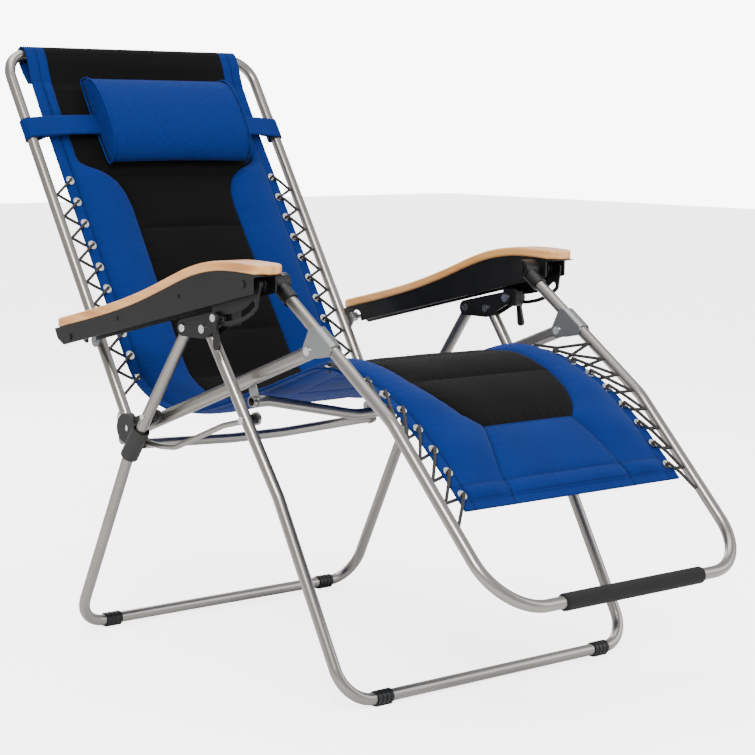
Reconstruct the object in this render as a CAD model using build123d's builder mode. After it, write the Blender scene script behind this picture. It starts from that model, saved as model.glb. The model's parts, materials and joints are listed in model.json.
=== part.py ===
"""Zero gravity recliner: folding steel frame, laced sling, sliding wooden arms.

Millimetres, +Z up. The sitter faces -Y, and +X is the sitter's left hand.
The origin is on the floor, under the middle of the chair's box, midway between the side frames.
"""

from build123d import *
from math import atan2, cos, hypot, radians, sin
import os

os.makedirs("parts", exist_ok=True)

# ---------------------------------------------------------------- driving dimensions

SIDES = {"right": -1, "left": 1}

TUBE_R = 10.0
TUBE_WALL = 1.5
LEG_X = 332.0  # centre line of the leg tubes
FRAME_X = 291.0  # centre line of the back, seat and legrest tubes
ARM_X = 340.0  # centre line of the armrests
RUNNING = 0.05  # radial clearance of a turning fit
GAP = 0.4  # side clearance between parts that move past each other

# Pivot points as (y, z)
REAR_LEG_TOP = (46.0, 575.0)
FRONT_LEG_PIVOT = (-8.0, 577.0)
LOCK = (-58.0, 600.0)
SEAT_PIVOT = (238.0, 382.0)
BACK_PIVOT = (273.0, 396.0)
LEGREST_PIVOT = (-224.0, 556.0)
ARM_FRONT = (-136.0, 660.0)
ARM_REAR = (341.0, 536.0)
STRUT_FRONT = (-107.0, 436.0)
STRUT_REAR = (194.0, 362.0)

# Leg frames
FOOT_R = 12.5
REAR_KNEE = (217.0, 329.0)
REAR_FOOT = (366.0, FOOT_R)
FRONT_KNEE = (-190.0, 318.0)
FRONT_FOOT = (-358.0, FOOT_R)
LEG_CORNER_R = 58.0
KNEE_R = 90.0

# Back frame: a straight line that leans back, and its top corners
BACK_LEAN = atan2(0.6, 1.0)
BACK_LENGTH = 742.0
BACK_CORNER_R = 50.0

# Legrest frame
LEGREST_TOP = (-148.0, 648.0)
LEGREST_KNEE = (-410.0, 461.0)
LEGREST_FOOT = (-656.0, 203.0)
LEGREST_CORNER_R = 95.0
LEGREST_KNEE_R = 110.0

# Seat rails
RAIL_FRONT = (-230.0, 558.3)
RAIL_REAR = (275.0, 364.6)
RAIL_HEIGHT = 24.0
RAIL_WIDTH = 18.0

# Recline linkage: turn of each joint for one degree at the seat pivot
RECLINE_MAX = 12.0
BACK_RATIO = 2.55
LEGREST_RATIO = 3.78
ARM_RATIO = -4.16

# Sling
SLING_HALF = 230.0  # half width of the padded middle
GROMMET_X = 241.0
HEM_HALF = 252.0
HEM_THICK = 3.0
PAD_THICK = 22.0
GROMMET_HOLE_R = 4.6
GROMMET_R = 8.5
BACK_GROMMETS = 10
BACK_GROMMET_TOP = 473.0
BACK_GROMMET_PITCH = 44.6
LEG_GROMMETS = 9
LACE_R = 2.7
LACE_REACH = 278.0  # lateral place where the lace turns at the tube

# Armrests
WOOD_THICK = 16.0
WOOD_WIDTH = 58.0
WOOD_EDGE_R = 4.0
SHELL_HALF = 25.5
SHELL_WALL = 3.0
TRACK_X = 350.0
TRACK_THICK = 3.0
BOLT_R = 4.5


# ---------------------------------------------------------------- helpers

def save(builder, name):
    """Label one finished piece and write it."""
    builder.part.label = name
    export_step(builder.part, f"parts/{name}.step")


def tilt(point, centre, angle):
    """Turn a (y, z) point about a centre in the recline sense, angle in radians."""
    dy = point[0] - centre[0]
    dz = point[1] - centre[1]
    return (
        centre[0] + dy * cos(angle) + dz * sin(angle),
        centre[1] - dy * sin(angle) + dz * cos(angle),
    )


def along(start, end, distance):
    """The (y, z) point at a distance from start towards end."""
    length = hypot(end[0] - start[0], end[1] - start[1])
    share = distance / length
    return (
        start[0] + (end[0] - start[0]) * share,
        start[1] + (end[1] - start[1]) * share,
    )


def back_point(distance, forward=0.0):
    """A (y, z) point on the back's centre line, moved towards the sitter."""
    return (
        BACK_PIVOT[0] + distance * sin(BACK_LEAN) - forward * cos(BACK_LEAN),
        BACK_PIVOT[1] + distance * cos(BACK_LEAN) + forward * sin(BACK_LEAN),
    )


def spaced(low, high, count):
    """Evenly spaced values from low to high."""
    return [low + (high - low) * i / (count - 1) for i in range(count)]


def cross_pin(side, x_from, x_to, point, radius, mode=Mode.ADD):
    """A cylinder along X between two lateral places, inside a part context."""
    middle = side * (x_from + x_to) / 2
    with Locations((middle, point[0], point[1])):
        Cylinder(radius, abs(x_to - x_from), rotation=(0, 90, 0), mode=mode)


def plate_plane(side, x):
    """Sketch plane across X, its local axes along Y and Z."""
    return Plane.YZ.offset(side * x)


def link_plate(side, x_from, x_to, discs, mode=Mode.ADD):
    """A flat plate hulled round discs given as (point, radius)."""
    with BuildSketch(plate_plane(side, x_from)) as outline:
        for point, radius in discs:
            with Locations(point):
                Circle(radius)
        make_hull()
    extrude(to_extrude=outline.sketch, amount=side * (x_to - x_from), mode=mode)


def bent_tube(points, radii, wall=TUBE_WALL, radius=TUBE_R):
    """A round hollow tube that follows a filleted path, inside a part context."""
    with BuildLine() as path:
        FilletPolyline(*points, radius=radii)
    with BuildSketch(Plane(origin=path.line @ 0, z_dir=path.line % 0)) as section:
        Circle(radius)
        Circle(radius - wall, mode=Mode.SUBTRACT)
    sweep(sections=section.sketch, path=path.line)


def u_frame_points(half, profile):
    """Mirror a (y, z) side profile into the points of a U-shaped tube."""
    right = [(-half, y, z) for y, z in profile]
    left = [(half, y, z) for y, z in reversed(profile)]
    return right + left


# ---------------------------------------------------------------- leg frames

rear_top = along(REAR_LEG_TOP, REAR_KNEE, -3.0)
front_top = along(FRONT_LEG_PIVOT, FRONT_KNEE, -3.0)
knuckle_ear = along(REAR_LEG_TOP, REAR_KNEE, 198.0)

with BuildPart() as rear_leg_frame:
    bent_tube(
        u_frame_points(LEG_X, [rear_top, REAR_KNEE, REAR_FOOT]),
        [KNEE_R, LEG_CORNER_R, LEG_CORNER_R, KNEE_R],
    )
    for side in SIDES.values():
        cross_pin(side, LEG_X - 15, LEG_X + 15, REAR_LEG_TOP, 4.0, Mode.SUBTRACT)
        cross_pin(side, LEG_X - 15, LEG_X + 15, knuckle_ear, 3.0, Mode.SUBTRACT)
save(rear_leg_frame, "rear_leg_frame")

with BuildPart() as front_leg_frame:
    bent_tube(
        u_frame_points(LEG_X, [front_top, FRONT_KNEE, FRONT_FOOT]),
        [KNEE_R, LEG_CORNER_R, LEG_CORNER_R, KNEE_R],
    )
    for side in SIDES.values():
        cross_pin(side, LEG_X - 15, LEG_X + 15, FRONT_LEG_PIVOT, 4.0, Mode.SUBTRACT)
        cross_pin(side, LEG_X - 15, LEG_X + 15, STRUT_FRONT, 3.0, Mode.SUBTRACT)
save(front_leg_frame, "front_leg_frame")

FOOT_LENGTH = 34.0
FOOT_X = 256.5
FOOT_CORE_R = 11.5
RIB_R = 12.3
RIB_COUNT = 4
RIB_WIDTH = 5.0
SOLE_WIDTH = 12.0
SOLE_HEIGHT = 5.0

for name, foot in (("rear_feet", REAR_FOOT), ("front_feet", FRONT_FOOT)):
    with BuildPart() as feet:
        for side in SIDES.values():
            cross_pin(side, FOOT_X - FOOT_LENGTH / 2, FOOT_X + FOOT_LENGTH / 2, foot, FOOT_CORE_R)
            for rib_x in spaced(FOOT_X - 14.0, FOOT_X + 14.0, RIB_COUNT):
                cross_pin(side, rib_x - RIB_WIDTH / 2, rib_x + RIB_WIDTH / 2, foot, RIB_R)
            with Locations((side * FOOT_X, foot[0], SOLE_HEIGHT / 2)):
                Box(FOOT_LENGTH, SOLE_WIDTH, SOLE_HEIGHT)
            cross_pin(side, FOOT_X - 30, FOOT_X + 30, foot, TUBE_R, Mode.SUBTRACT)
    save(feet, name)

# ---------------------------------------------------------------- brackets under the arms

PLATE = 2.5
BRACKET_IN = LEG_X - 13.0
BRACKET_OUT = LEG_X + 13.0
BRACKET_DISCS = [(REAR_LEG_TOP, 14.0), (FRONT_LEG_PIVOT, 16.0), (LOCK, 12.0)]

for label, side in SIDES.items():
    with BuildPart() as leg_bracket:
        link_plate(side, BRACKET_IN, BRACKET_OUT, BRACKET_DISCS)
        hollow = []
        for point, radius in BRACKET_DISCS:
            hollow.append((point, radius - PLATE))
            hollow.append(((point[0], point[1] - 60.0), radius - PLATE))
        hollow.append((along(REAR_LEG_TOP, REAR_KNEE, 60.0), 13.0))
        hollow.append((along(FRONT_LEG_PIVOT, FRONT_KNEE, 60.0), 13.0))
        link_plate(side, BRACKET_IN + PLATE, BRACKET_OUT - PLATE, hollow, Mode.SUBTRACT)
        # the plates stand clear of each other round the clamp block
        link_plate(side, BRACKET_IN + PLATE, BRACKET_OUT - PLATE, [(LOCK, 30.0)], Mode.SUBTRACT)
        cross_pin(side, BRACKET_IN - 1, BRACKET_OUT + 1, REAR_LEG_TOP, 4.0, Mode.SUBTRACT)
        cross_pin(side, BRACKET_IN - 1, BRACKET_OUT + 1, FRONT_LEG_PIVOT, 4.0 + RUNNING, Mode.SUBTRACT)
        cross_pin(side, BRACKET_IN - 1, BRACKET_OUT + 1, LOCK, BOLT_R, Mode.SUBTRACT)
    save(leg_bracket, f"leg_bracket_{label}")

    with BuildPart() as clamp_block:
        block = (LOCK[0] - 7.0, LOCK[1] + 2.0)
        with Locations((side * LEG_X, block[0], block[1])):
            Box(20.0, 34.0, 32.0)
        fillet(clamp_block.edges().filter_by(Axis.X), 5.0)
        chamfer(clamp_block.faces().filter_by(Axis.X).edges(), 1.0)
        cross_pin(side, LEG_X - 12, LEG_X + 12, LOCK, BOLT_R, Mode.SUBTRACT)
    save(clamp_block, f"clamp_block_{label}")

HEAD_R = 7.0
DOME_HEAD = 2.5
FLAT_HEAD = 0.8

with BuildPart() as leg_rivets:
    for side in SIDES.values():
        cross_pin(side, BRACKET_IN, BRACKET_OUT, REAR_LEG_TOP, 4.0)
        # the inner head is flat, to clear the arm as it comes down
        cross_pin(side, BRACKET_IN - FLAT_HEAD, BRACKET_IN, REAR_LEG_TOP, HEAD_R)
        cross_pin(side, BRACKET_OUT, BRACKET_OUT + DOME_HEAD, REAR_LEG_TOP, HEAD_R)
    outer_rims = leg_rivets.edges().filter_by(GeomType.CIRCLE).group_by(SortBy.RADIUS)[-1]
    fillet([rim for rim in outer_rims if abs(rim.center().X) > BRACKET_OUT + DOME_HEAD / 2], 1.6)
save(leg_rivets, "leg_rivets")

with BuildPart() as front_leg_pins:
    for side in SIDES.values():
        cross_pin(side, BRACKET_IN - GAP, BRACKET_OUT + GAP, FRONT_LEG_PIVOT, 4.0)
        cross_pin(side, BRACKET_IN - 2.9, BRACKET_IN - GAP, FRONT_LEG_PIVOT, 7.0)
        cross_pin(side, BRACKET_OUT + GAP, BRACKET_OUT + 2.9, FRONT_LEG_PIVOT, 7.0)
save(front_leg_pins, "front_leg_pins")

with BuildPart() as lock_bolts:
    for side in SIDES.values():
        cross_pin(side, BRACKET_IN, 363.6, LOCK, BOLT_R)
        cross_pin(side, BRACKET_IN - 3.0, BRACKET_IN, LOCK, 7.5)
        cross_pin(side, BRACKET_OUT, TRACK_X - GAP, LOCK, 8.0)
        cross_pin(side, 361.6, 364.4, LOCK, 6.5)
save(lock_bolts, "lock_bolts")

LEVER_IN = TRACK_X + TRACK_THICK + GAP
LEVER_OUT = 361.2

for label, side in SIDES.items():
    with BuildPart() as lock_lever:
        cross_pin(side, LEVER_IN, LEVER_OUT, LOCK, 10.0)
        lever_tip = (LOCK[0] - 4.0, LOCK[1] - 46.0)
        lever_waist = (LOCK[0] + 1.0, LOCK[1] - 18.0)
        link_plate(side, LEVER_IN + 1.0, LEVER_OUT - 1.5, [(LOCK, 8.0), (lever_waist, 4.5)])
        link_plate(side, LEVER_IN + 1.0, LEVER_OUT - 1.5, [(lever_waist, 4.5), (lever_tip, 7.0)])
        cross_pin(side, LEVER_IN - 1, LEVER_OUT + 1, LOCK, BOLT_R + RUNNING, Mode.SUBTRACT)
    save(lock_lever, f"lock_lever_{label}")

# ---------------------------------------------------------------- pivots on the rear legs

KNUCKLE_IN = 307.4
KNUCKLE_OUT = LEG_X - TUBE_R
EAR_FACE = 315.4

for label, side in SIDES.items():
    with BuildPart() as seat_knuckle:
        link_plate(side, KNUCKLE_IN, EAR_FACE, [(SEAT_PIVOT, 15.0), (knuckle_ear, 10.0)])
        cross_pin(side, EAR_FACE, KNUCKLE_OUT, knuckle_ear, 8.0)
        cross_pin(side, KNUCKLE_IN, KNUCKLE_OUT - 2.0, SEAT_PIVOT, 26.0)
        fillet(seat_knuckle.faces().sort_by(Axis.X)[0 if side > 0 else -1].edges(), 1.5)
        cross_pin(side, KNUCKLE_IN - 1, LEG_X, SEAT_PIVOT, 6.0 + RUNNING, Mode.SUBTRACT)
        cross_pin(side, KNUCKLE_IN - 1, LEG_X, knuckle_ear, 3.0, Mode.SUBTRACT)
        cross_pin(side, KNUCKLE_IN - 1, KNUCKLE_IN + 3.0, knuckle_ear, 6.0, Mode.SUBTRACT)
    save(seat_knuckle, f"seat_knuckle_{label}")

with BuildPart() as knuckle_rivets:
    for side in SIDES.values():
        cross_pin(side, KNUCKLE_IN + 0.6, LEG_X + TUBE_R + 1.0, knuckle_ear, 3.0)
        cross_pin(side, KNUCKLE_IN + 0.6, KNUCKLE_IN + 3.0, knuckle_ear, 5.5)
        cross_pin(side, LEG_X + TUBE_R, LEG_X + TUBE_R + 2.2, knuckle_ear, 5.0)
save(knuckle_rivets, "knuckle_rivets")

SLEEVE_LENGTH = 62.0
SLEEVE_R = 16.0
SLEEVE_MOUTH_R = 13.5
sleeve_top = along(REAR_LEG_TOP, REAR_KNEE, 228.0)
leg_direction = (
    (REAR_KNEE[0] - REAR_LEG_TOP[0]) / hypot(REAR_KNEE[0] - REAR_LEG_TOP[0], REAR_KNEE[1] - REAR_LEG_TOP[1]),
    (REAR_KNEE[1] - REAR_LEG_TOP[1]) / hypot(REAR_KNEE[0] - REAR_LEG_TOP[0], REAR_KNEE[1] - REAR_LEG_TOP[1]),
)

for label, side in SIDES.items():
    sleeve_plane = Plane(
        origin=(side * LEG_X, sleeve_top[0], sleeve_top[1]),
        x_dir=(1, 0, 0),
        z_dir=(0, leg_direction[0], leg_direction[1]),
    )
    with BuildPart() as leg_sleeve:
        with BuildSketch(sleeve_plane):
            Circle(SLEEVE_R)
        extrude(amount=SLEEVE_LENGTH)
        fillet(leg_sleeve.edges(), 2.0)
        with BuildSketch(sleeve_plane):
            Circle(TUBE_R)
        extrude(amount=SLEEVE_LENGTH, mode=Mode.SUBTRACT)
        with BuildSketch(sleeve_plane):
            Circle(SLEEVE_MOUTH_R)
        extrude(amount=16.0, mode=Mode.SUBTRACT)
    save(leg_sleeve, f"leg_sleeve_{label}")

# ---------------------------------------------------------------- struts

STRUT_X = 311.0
STRUT_R = 5.0
EYE_HALF = 3.0

for label, side in SIDES.items():
    with BuildPart() as strut:
        strut_line = [
            along(STRUT_FRONT, (-22.0, 415.0), 10.0),
            (-22.0, 415.0),
            (108.0, 363.0),
            (148.0, 360.0),
            along(STRUT_REAR, (148.0, 360.0), 6.0),
        ]
        with BuildLine() as path:
            FilletPolyline(*[(side * STRUT_X, y, z) for y, z in strut_line], radius=[60.0, 40.0, 60.0])
        with BuildSketch(Plane(origin=path.line @ 0, z_dir=path.line % 0)):
            Circle(STRUT_R)
        sweep()
        for eye in (STRUT_FRONT, STRUT_REAR):
            cross_pin(side, STRUT_X - EYE_HALF, STRUT_X + EYE_HALF, eye, 11.0)
        cross_pin(side, STRUT_X - 8, STRUT_X + 8, STRUT_FRONT, 3.0 + RUNNING, Mode.SUBTRACT)
        cross_pin(side, STRUT_X - 8, STRUT_X + 8, STRUT_REAR, 4.0, Mode.SUBTRACT)
    save(strut, f"strut_{label}")

with BuildPart() as strut_pins:
    for side in SIDES.values():
        cross_pin(side, STRUT_X - 6.0, LEG_X + TUBE_R + 1.0, STRUT_FRONT, 3.0)
        cross_pin(side, STRUT_X - 6.0, STRUT_X - EYE_HALF - GAP, STRUT_FRONT, 6.0)
        cross_pin(side, LEG_X + TUBE_R, LEG_X + TUBE_R + 2.5, STRUT_FRONT, 6.0)
save(strut_pins, "strut_pins")

with BuildPart() as strut_bushings:
    for side in SIDES.values():
        cross_pin(side, STRUT_X + EYE_HALF + GAP, LEG_X - TUBE_R, STRUT_FRONT, 8.0)
        cross_pin(side, STRUT_X, LEG_X, STRUT_FRONT, 3.0, Mode.SUBTRACT)
save(strut_bushings, "strut_bushings")

# ---------------------------------------------------------------- seat frame

rail_slope = atan2(RAIL_REAR[1] - RAIL_FRONT[1], RAIL_REAR[0] - RAIL_FRONT[0])
rail_length = hypot(RAIL_REAR[0] - RAIL_FRONT[0], RAIL_REAR[1] - RAIL_FRONT[1])


def rail_point(distance, drop=0.0):
    """A (y, z) point on the seat rail's centre line, moved below it."""
    y, z = along(RAIL_FRONT, RAIL_REAR, distance)
    return (y + drop * sin(rail_slope), z - drop * cos(rail_slope))


PIVOT_PIN_R = 6.0
seat_pin_in = FRAME_X - RAIL_WIDTH / 2

for label, side in SIDES.items():
    rail_plane = Plane(
        origin=(side * FRAME_X, RAIL_FRONT[0], RAIL_FRONT[1]),
        x_dir=(1, 0, 0),
        z_dir=(0, cos(rail_slope), sin(rail_slope)),
    )
    with BuildPart() as seat_rail:
        with BuildSketch(rail_plane):
            RectangleRounded(RAIL_WIDTH, RAIL_HEIGHT, RAIL_WIDTH / 2 - 0.2)
            RectangleRounded(RAIL_WIDTH - 3.0, RAIL_HEIGHT - 3.0, RAIL_WIDTH / 2 - 1.7, mode=Mode.SUBTRACT)
        extrude(amount=rail_length)
        cross_pin(side, FRAME_X - 15, FRAME_X + 15, LEGREST_PIVOT, 4.0 + RUNNING, Mode.SUBTRACT)
        cross_pin(side, FRAME_X - 15, FRAME_X + 15, SEAT_PIVOT, PIVOT_PIN_R, Mode.SUBTRACT)
    save(seat_rail, f"seat_rail_{label}")

    # stamped plate that carries the back hinge above the rail
    with BuildPart() as hinge_plate:
        plate_foot = (270.0, 357.0)
        link_plate(side, 302.0, 304.5, [(BACK_PIVOT, 11.0), (SEAT_PIVOT, 13.0), (plate_foot, 9.0)])
        cross_pin(side, 300, 306, BACK_PIVOT, 4.0 + RUNNING, Mode.SUBTRACT)
        cross_pin(side, 300, 306, SEAT_PIVOT, PIVOT_PIN_R, Mode.SUBTRACT)
    save(hinge_plate, f"hinge_plate_{label}")

with BuildPart() as seat_pivot_pins:
    for side in SIDES.values():
        cross_pin(side, seat_pin_in - 1.0, KNUCKLE_OUT - 4.0, SEAT_PIVOT, PIVOT_PIN_R)
        cross_pin(side, seat_pin_in - 3.5, seat_pin_in, SEAT_PIVOT, 9.0)
        cross_pin(side, 300.0, 302.0, SEAT_PIVOT, 9.0)
        cross_pin(side, 304.5, KNUCKLE_IN - GAP, SEAT_PIVOT, 10.0)
save(seat_pivot_pins, "seat_pivot_pins")

CROSS_R = 9.0
CROSS_PLACES = {"front": (185.0, 36.0, 40.0), "rear": (536.0, 21.0, 8.0)}  # along, drop, bow


def bowed_tube(centre, bow):
    """A cross tube from rail to rail, bowed down in the middle, inside a part context."""
    y, z = centre
    bent_tube(
        [
            (-FRAME_X, y, z),
            (-FRAME_X + 30.0, y, z),
            (-60.0, y, z - bow),
            (60.0, y, z - bow),
            (FRAME_X - 30.0, y, z),
            (FRAME_X, y, z),
        ],
        [60.0, 140.0, 140.0, 60.0],
        radius=CROSS_R,
    )


for name, (distance, drop, bow) in CROSS_PLACES.items():
    with BuildPart() as seat_cross_tube:
        bowed_tube(rail_point(distance, drop), bow)
    save(seat_cross_tube, f"seat_cross_tube_{name}")

CLAMP_IN = FRAME_X - RAIL_WIDTH / 2 - 2.0

with BuildPart() as cross_tube_clamps:
    for side in SIDES.values():
        for distance, drop, bow in CROSS_PLACES.values():
            low = rail_point(distance, drop)
            link_plate(side, CLAMP_IN, CLAMP_IN + 2.0, [(low, CROSS_R + 2.0), (rail_point(distance, -4.0), 9.0)])
            cross_pin(side, CLAMP_IN - 1, CLAMP_IN + 4, low, CROSS_R, Mode.SUBTRACT)
            cross_pin(side, CLAMP_IN - 1.5, CLAMP_IN, rail_point(distance), 4.0)
save(cross_tube_clamps, "cross_tube_clamps")

# ---------------------------------------------------------------- back frame

back_foot = back_point(-8.0)
back_head = back_point(BACK_LENGTH)
ear_root = back_point(150.0)

with BuildPart() as back_tube:
    bent_tube(
        u_frame_points(FRAME_X, [back_foot, back_head]),
        [BACK_CORNER_R, BACK_CORNER_R],
    )
    for side in SIDES.values():
        cross_pin(side, FRAME_X - 15, FRAME_X + 15, BACK_PIVOT, 4.0, Mode.SUBTRACT)
save(back_tube, "back_tube")

with BuildPart() as back_hinge_pins:
    for side in SIDES.values():
        cross_pin(side, FRAME_X - TUBE_R - 1.0, 304.9, BACK_PIVOT, 4.0)
        cross_pin(side, FRAME_X - TUBE_R - 2.5, FRAME_X - TUBE_R, BACK_PIVOT, 6.5)
        cross_pin(side, 304.9, 306.6, BACK_PIVOT, 6.5)
save(back_hinge_pins, "back_hinge_pins")

with BuildPart() as arm_pivot_ears:
    for side in SIDES.values():
        link_plate(side, FRAME_X + TUBE_R, FRAME_X + TUBE_R + 3.0, [(ear_root, 11.0), (ARM_REAR, 9.0)])
        cross_pin(side, FRAME_X + TUBE_R, 338.0, ARM_REAR, 4.0)
        cross_pin(side, FRAME_X + TUBE_R + 3.0, 312.5, ARM_REAR, 9.0)
        cross_pin(side, 336.0, 339.0, ARM_REAR, 7.0)
save(arm_pivot_ears, "arm_pivot_ears")

# ---------------------------------------------------------------- legrest frame

with BuildPart() as legrest_tube:
    bent_tube(
        u_frame_points(FRAME_X, [LEGREST_TOP, LEGREST_KNEE, LEGREST_FOOT]),
        [LEGREST_KNEE_R, LEGREST_CORNER_R, LEGREST_CORNER_R, LEGREST_KNEE_R],
    )
save(legrest_tube, "legrest_tube")

BAR_SLEEVE_R = 14.0
BAR_SLEEVE_HALF = 162.0

with BuildPart() as foot_bar_sleeve:
    cross_pin(1, -BAR_SLEEVE_HALF, BAR_SLEEVE_HALF, LEGREST_FOOT, BAR_SLEEVE_R)
    fillet(foot_bar_sleeve.edges(), 3.0)
    cross_pin(1, -BAR_SLEEVE_HALF - 1, BAR_SLEEVE_HALF + 1, LEGREST_FOOT, TUBE_R, Mode.SUBTRACT)
save(foot_bar_sleeve, "foot_bar_sleeve")

bracket_root = along(LEGREST_TOP, LEGREST_KNEE, 118.0)
bracket_root_low = along(LEGREST_TOP, LEGREST_KNEE, 150.0)
bracket_root_high = along(LEGREST_TOP, LEGREST_KNEE, 106.0)
EAR_IN = FRAME_X - TUBE_R - 2.5
EAR_OUT = FRAME_X + TUBE_R + 2.5
tube_direction = (0, LEGREST_KNEE[0] - LEGREST_TOP[0], LEGREST_KNEE[1] - LEGREST_TOP[1])

for label, side in SIDES.items():
    with BuildPart() as legrest_bracket:
        wrap_plane = Plane(
            origin=(side * FRAME_X, bracket_root_high[0], bracket_root_high[1]),
            x_dir=(1, 0, 0),
            z_dir=tube_direction,
        )
        with BuildSketch(wrap_plane):
            Circle(TUBE_R + 2.5)
        extrude(amount=46.0)
        for x in (EAR_IN, EAR_OUT - 2.5):
            link_plate(
                side,
                x,
                x + 2.5,
                [(bracket_root_high, 9.0), (bracket_root_low, 9.0), (LEGREST_PIVOT, 13.0)],
            )
        with BuildSketch(wrap_plane.offset(-40)):
            Circle(TUBE_R)
        extrude(amount=140.0, mode=Mode.SUBTRACT)
        cross_pin(side, EAR_IN - 1, EAR_OUT + 1, LEGREST_PIVOT, 4.0, Mode.SUBTRACT)
    save(legrest_bracket, f"legrest_bracket_{label}")

with BuildPart() as legrest_rivets:
    for side in SIDES.values():
        cross_pin(side, EAR_IN - 1.0, EAR_OUT + 1.0, LEGREST_PIVOT, 4.0)
        cross_pin(side, EAR_IN - 2.5, EAR_IN, LEGREST_PIVOT, 7.0)
        cross_pin(side, EAR_OUT, EAR_OUT + 2.5, LEGREST_PIVOT, 7.0)
save(legrest_rivets, "legrest_rivets")

CAP_R = 13.0
CAP_HALF = 14.5
SHELL_IN = ARM_X - SHELL_HALF
AXLE_R = 5.0
AXLE_END = 347.0

cap_start = along(LEGREST_TOP, LEGREST_KNEE, 26.0)


def cap_plane(side, offset):
    """Across the legrest tube's upper end, at a distance past the start of its cap."""
    across_tube = Plane(
        origin=(side * FRAME_X, cap_start[0], cap_start[1]),
        x_dir=(1, 0, 0),
        z_dir=(0, LEGREST_TOP[0] - LEGREST_KNEE[0], LEGREST_TOP[1] - LEGREST_KNEE[1]),
    )
    return across_tube.offset(offset)


for label, side in SIDES.items():
    with BuildPart() as legrest_end_cap:
        with BuildSketch(cap_plane(side, 0.0)):
            Circle(CAP_R)
        extrude(amount=32.0)
        cross_pin(side, FRAME_X - CAP_HALF, FRAME_X + CAP_HALF, ARM_FRONT, 16.0)
        with BuildSketch(cap_plane(side, -10.0)):
            Circle(TUBE_R)
        extrude(amount=10.0 + 26.0, mode=Mode.SUBTRACT)
        cross_pin(side, FRAME_X - 20, FRAME_X + 20, ARM_FRONT, AXLE_R, Mode.SUBTRACT)
    save(legrest_end_cap, f"legrest_end_cap_{label}")

with BuildPart() as arm_front_axles:
    for side in SIDES.values():
        cross_pin(side, FRAME_X - CAP_HALF, AXLE_END, ARM_FRONT, AXLE_R)
        cross_pin(side, FRAME_X - CAP_HALF - 3.0, FRAME_X - CAP_HALF, ARM_FRONT, 8.0)
        cross_pin(side, FRAME_X + CAP_HALF, SHELL_IN - GAP, ARM_FRONT, 15.0)
        for ring_x in spaced(SHELL_IN + SHELL_WALL + 3.0, AXLE_END - 3.5, 4):
            cross_pin(side, ring_x - 1.5, ring_x + 1.5, ARM_FRONT, 13.0)
        cross_pin(side, SHELL_IN + SHELL_WALL + GAP, AXLE_END - 2.0, ARM_FRONT, 11.0)
save(arm_front_axles, "arm_front_axles")

# ---------------------------------------------------------------- armrests

WOOD_LINE = [
    (386.0, 548.0),
    (323.0, 563.0),
    (191.0, 596.5),
    (79.0, 635.0),
    (-1.0, 664.5),
    (-67.0, 677.5),
    (-138.0, 678.5),
    (-184.0, 676.5),
]
PANEL_REAR = (359.0, 521.0)
PANEL_FRONT = (-161.0, 646.0)


def wood_underside(lift=0.0):
    """The wavy underside of the arm, lifted by an amount, inside a line context."""
    return Spline(*[(y, z + lift) for y, z in WOOD_LINE])


TRACK_POINTS = 6


def lock_track():
    """Where the lock bolt lies in the arm's own frame as the linkage reclines."""
    track = []
    for share in spaced(0.0, 1.0, TRACK_POINTS):
        seat = radians(RECLINE_MAX) * share
        legrest = seat * (1 + LEGREST_RATIO)
        arm = legrest + seat * ARM_RATIO
        knee = tilt(LEGREST_PIVOT, SEAT_PIVOT, seat)
        turned = tilt(ARM_FRONT, LEGREST_PIVOT, legrest)
        axle = (
            knee[0] + turned[0] - LEGREST_PIVOT[0],
            knee[1] + turned[1] - LEGREST_PIVOT[1],
        )
        seen = (LOCK[0] - axle[0] + ARM_FRONT[0], LOCK[1] - axle[1] + ARM_FRONT[1])
        track.append(tilt(seen, ARM_FRONT, -arm))
    return track


track = lock_track()

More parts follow.
